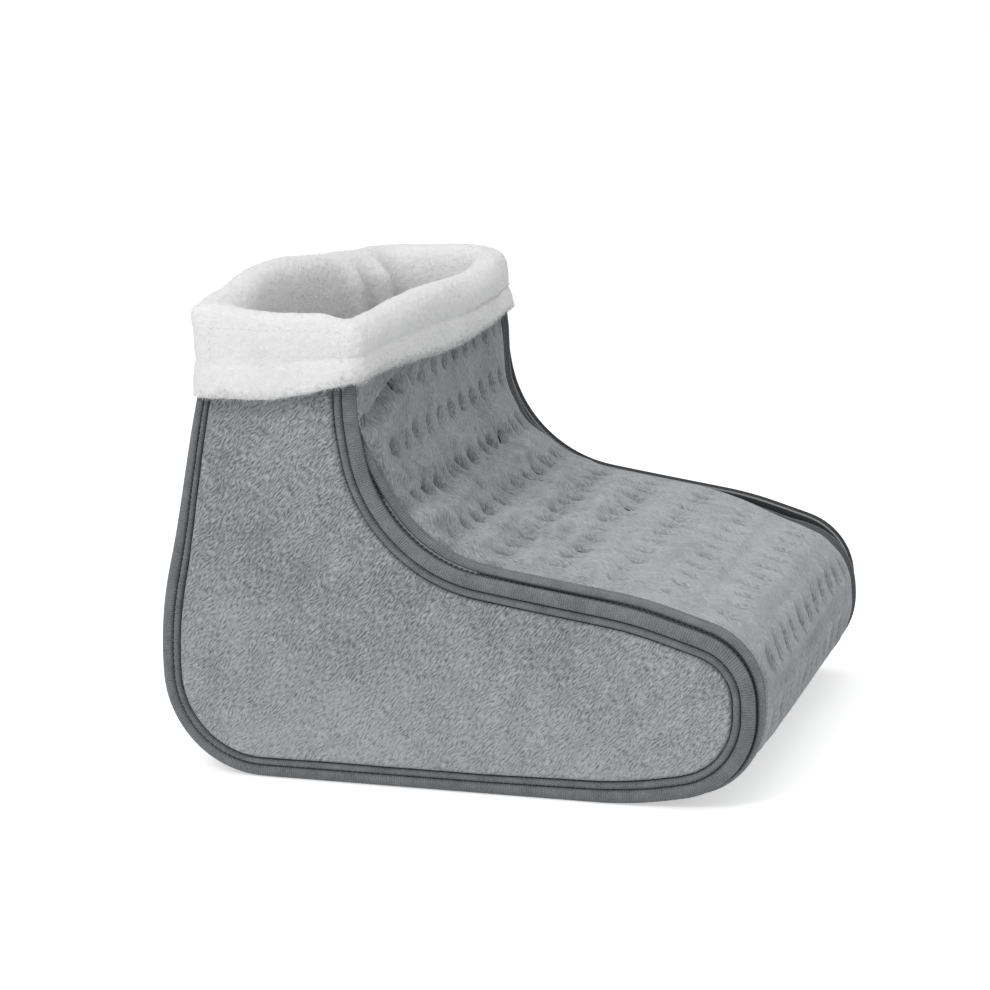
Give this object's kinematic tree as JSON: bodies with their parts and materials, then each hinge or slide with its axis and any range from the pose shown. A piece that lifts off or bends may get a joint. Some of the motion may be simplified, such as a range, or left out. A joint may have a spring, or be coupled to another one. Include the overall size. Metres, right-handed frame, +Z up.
{
  "type": "electric foot warmer",
  "caption": "Soft heated boot for both feet: flat side panels, a quilted heated strip over the instep and toe, a sole, a heel inlet and a lift-out fleece liner with a turned-down cuff.",
  "frame": {"origin": "on the floor, under the middle of the boot's length and width", "axes": "+X towards the toe, +Y towards the left-hand side panel, +Z up"},
  "size_m": [0.32, 0.28, 0.2561],
  "materials": {
    "flannel": "short-pile grey flannel",
    "ribbed_tape": "crosswise ribbed grey tape",
    "fleece": "off-white plush fleece",
    "foam": "soft foam and wadding",
    "inner_cloth": "plain woven cloth",
    "grip_cloth": "non-slip dotted cloth",
    "loop_tape": "loop tape",
    "hook_tape": "hook tape",
    "heating_wire": "soft insulated coaxial heating wire",
    "sleeve": "shrink sleeve",
    "black_plastic": "moulded black plastic",
    "brass": "plain brass",
    "blue_lead": "blue insulation",
    "brown_lead": "brown insulation"
  },
  "bodies": {
    "shell": {"side_face_left": "flannel", "side_foam_left": "foam", "side_backing_left": "inner_cloth", "side_binding_left": "ribbed_tape", "gusset_binding_left": "ribbed_tape", "loop_patch_left": "loop_tape", "side_face_right": "flannel", "side_foam_right": "foam", "side_backing_right": "inner_cloth", "side_binding_right": "ribbed_tape", "gusset_binding_right": "ribbed_tape", "loop_patch_right": "loop_tape", "quilted_upper": "flannel", "upper_backing": "inner_cloth", "heel_panel": "flannel", "heel_backing": "inner_cloth", "sole_cloth": "grip_cloth", "sole_foam": "foam", "sole_backing": "inner_cloth", "rim_binding": "ribbed_tape", "upper_heating_wire": "heating_wire", "sole_heating_wire": "heating_wire", "wire_joint": "sleeve", "wire_end_cap": "sleeve", "lead_sleeve": "sleeve", "thermal_cutout": "black_plastic", "temperature_sensor": "sleeve", "lead_live": "brown_lead", "lead_neutral": "blue_lead", "lead_sense": "sleeve", "inlet_housing": "black_plastic", "inlet_flange": "black_plastic", "inlet_pin_1": "brass", "inlet_pin_2": "brass", "inlet_pin_3": "brass"},
    "liner": {"hook_patch_left": "hook_tape", "hook_patch_right": "hook_tape", "cuff_band": "fleece", "cuff_hem": "fleece", "liner_collar": "fleece", "liner_side_left": "fleece", "liner_side_right": "fleece", "liner_upper": "fleece", "liner_sole": "fleece", "liner_heel": "fleece"}
  },
  "joints": [
    {"name": "liner_pull", "type": "slide", "parent": "shell", "child": "liner", "axis": [0, 0, 1], "range_m": [0, 0.25], "deforming": ["liner_side_left", "liner_side_right", "liner_upper", "liner_sole", "liner_heel"]}
  ]
}
